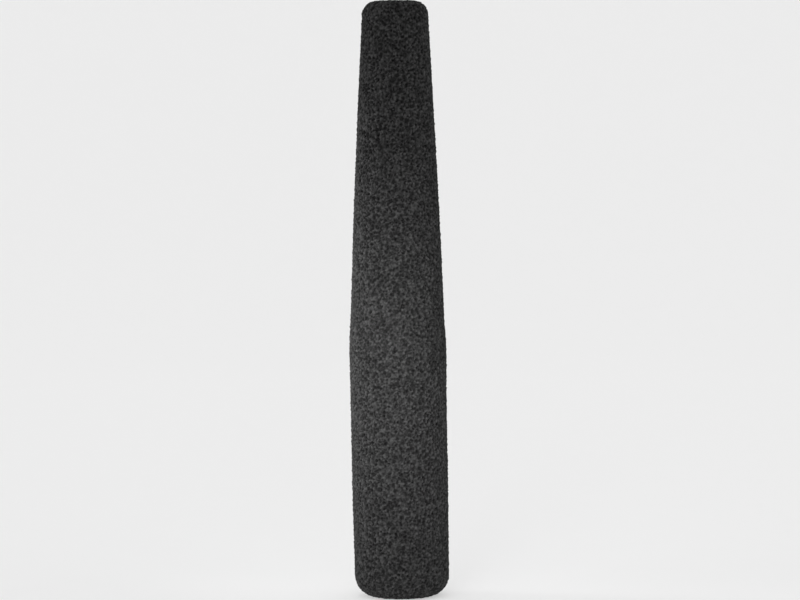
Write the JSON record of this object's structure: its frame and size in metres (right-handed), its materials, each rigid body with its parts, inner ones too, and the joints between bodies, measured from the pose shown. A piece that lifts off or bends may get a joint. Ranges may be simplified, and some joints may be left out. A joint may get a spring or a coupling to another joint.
{
  "type": "foam microphone windscreen",
  "caption": "Long slip-on foam windscreen for a shotgun microphone: a cylinder that tapers to a narrow, flat, closed tip, with a blind bore open at its wide end.",
  "frame": {"origin": "centre of the bore's mouth, in the plane of the wide end that the windscreen stands on", "axes": "+Z along the bore's axis from the open wide end to the closed narrow tip; X and Y are interchangeable, because the part is turned about Z"},
  "size_m": [0.045, 0.045, 0.28],
  "materials": {
    "foam": "matt charcoal open-cell polyurethane foam, ground to shape",
    "glue": "cured flexible contact adhesive, satin black"
  },
  "bodies": {
    "root": {"foam_sleeve": "foam", "tip_plug": "foam", "plug_glue_film": "glue"}
  },
  "joints": []
}
